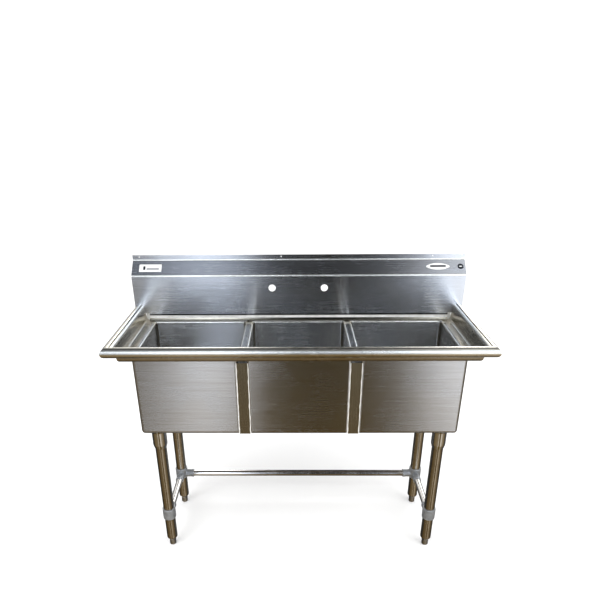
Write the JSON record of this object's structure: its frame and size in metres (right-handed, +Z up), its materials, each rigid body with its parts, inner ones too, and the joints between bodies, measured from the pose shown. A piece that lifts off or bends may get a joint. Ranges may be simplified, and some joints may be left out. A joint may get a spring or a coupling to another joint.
{
  "type": "three compartment sink",
  "caption": "Free-standing commercial sink in brushed stainless steel: square bowls in a rolled-rim top with a backsplash, on braced tube legs with adjustable bullet feet.",
  "frame": {"origin": "on the floor under the middle of the sink's width and depth", "axes": "+X to the right as seen from the front, +Y to the wall behind, +Z up"},
  "size_m": [1.292, 0.4879, 1.108],
  "materials": {
    "stainless": "number 4 brushed stainless steel",
    "casting": "matt grey casting",
    "zinc": "zinc plated",
    "rubber": "matt black rubber"
  },
  "bodies": {
    "sink": {"backsplash": "stainless", "front_rim": "stainless", "left_rim": "stainless", "right_rim": "stainless", "bowl_left": "stainless", "strainer_body_left": "stainless", "drain_gasket_left": "rubber", "locknut_left": "zinc", "bowl_centre": "stainless", "strainer_body_centre": "stainless", "drain_gasket_centre": "rubber", "locknut_centre": "zinc", "bowl_right": "stainless", "strainer_body_right": "stainless", "drain_gasket_right": "rubber", "locknut_right": "zinc", "divider_strip_left": "stainless", "front_filler_left": "stainless", "divider_strip_right": "stainless", "front_filler_right": "stainless", "leg_socket_front_left": "stainless", "socket_screw_front_left": "zinc", "leg_tube_front_left": "stainless", "rail_clamp_front_left": "casting", "clamp_screw_front_left": "zinc", "leg_insert_front_left": "zinc", "leg_socket_rear_left": "stainless", "socket_screw_rear_left": "zinc", "leg_tube_rear_left": "stainless", "rail_clamp_rear_left": "casting", "clamp_screw_rear_left": "zinc", "leg_insert_rear_left": "zinc", "leg_socket_front_right": "stainless", "socket_screw_front_right": "zinc", "leg_tube_front_right": "stainless", "rail_clamp_front_right": "casting", "clamp_screw_front_right": "zinc", "leg_insert_front_right": "zinc", "leg_socket_rear_right": "stainless", "socket_screw_rear_right": "zinc", "leg_tube_rear_right": "stainless", "rail_clamp_rear_right": "casting", "clamp_screw_rear_right": "zinc", "leg_insert_rear_right": "zinc", "side_rail_left": "stainless", "side_rail_right": "stainless", "rear_rail": "stainless"},
    "basket_left": {"basket_left": "stainless"},
    "basket_centre": {"basket_centre": "stainless"},
    "basket_right": {"basket_right": "stainless"},
    "stud_front_left": {"foot_stud_front_left": "zinc"},
    "foot_front_left": {"bullet_foot_front_left": "stainless"},
    "stud_rear_left": {"foot_stud_rear_left": "zinc"},
    "foot_rear_left": {"bullet_foot_rear_left": "stainless"},
    "stud_front_right": {"foot_stud_front_right": "zinc"},
    "foot_front_right": {"bullet_foot_front_right": "stainless"},
    "stud_rear_right": {"foot_stud_rear_right": "zinc"},
    "foot_rear_right": {"bullet_foot_rear_right": "stainless"}
  },
  "joints": [
    {"name": "foot_turn_front_left", "type": "hinge", "parent": "stud_front_left", "child": "foot_front_left", "pos_m": [-0.5177, -0.1342, 0], "axis": [0, 0, 1], "range_deg": [-3900, 0]},
    {"name": "foot_height_front_left", "type": "slide", "parent": "sink", "child": "stud_front_left", "axis": [0, 0, 1], "range_m": [-0.025, 0]},
    {"name": "foot_turn_rear_left", "type": "hinge", "parent": "stud_rear_left", "child": "foot_rear_left", "pos_m": [-0.5177, 0.1272, 0], "axis": [0, 0, 1], "range_deg": [-3900, 0]},
    {"name": "foot_height_rear_left", "type": "slide", "parent": "sink", "child": "stud_rear_left", "axis": [0, 0, 1], "range_m": [-0.025, 0]},
    {"name": "foot_turn_front_right", "type": "hinge", "parent": "stud_front_right", "child": "foot_front_right", "pos_m": [0.5177, -0.1342, 0], "axis": [0, 0, 1], "range_deg": [-3900, 0]},
    {"name": "foot_height_front_right", "type": "slide", "parent": "sink", "child": "stud_front_right", "axis": [0, 0, 1], "range_m": [-0.025, 0]},
    {"name": "foot_turn_rear_right", "type": "hinge", "parent": "stud_rear_right", "child": "foot_rear_right", "pos_m": [0.5177, 0.1272, 0], "axis": [0, 0, 1], "range_deg": [-3900, 0]},
    {"name": "foot_height_rear_right", "type": "slide", "parent": "sink", "child": "stud_rear_right", "axis": [0, 0, 1], "range_m": [-0.025, 0]},
    {"name": "basket_lift_left", "type": "slide", "parent": "sink", "child": "basket_left", "axis": [0, 0, 1], "range_m": [0, 0.42]},
    {"name": "basket_lift_centre", "type": "slide", "parent": "sink", "child": "basket_centre", "axis": [0, 0, 1], "range_m": [0, 0.42]},
    {"name": "basket_lift_right", "type": "slide", "parent": "sink", "child": "basket_right", "axis": [0, 0, 1], "range_m": [0, 0.42]}
  ],
  "couplings": [
    {"joint": "foot_turn_front_left", "follows": "foot_height_front_left", "rad_per_m": 2721.1},
    {"joint": "foot_turn_rear_left", "follows": "foot_height_rear_left", "rad_per_m": 2721.1},
    {"joint": "foot_turn_front_right", "follows": "foot_height_front_right", "rad_per_m": 2721.1},
    {"joint": "foot_turn_rear_right", "follows": "foot_height_rear_right", "rad_per_m": 2721.1}
  ]
}
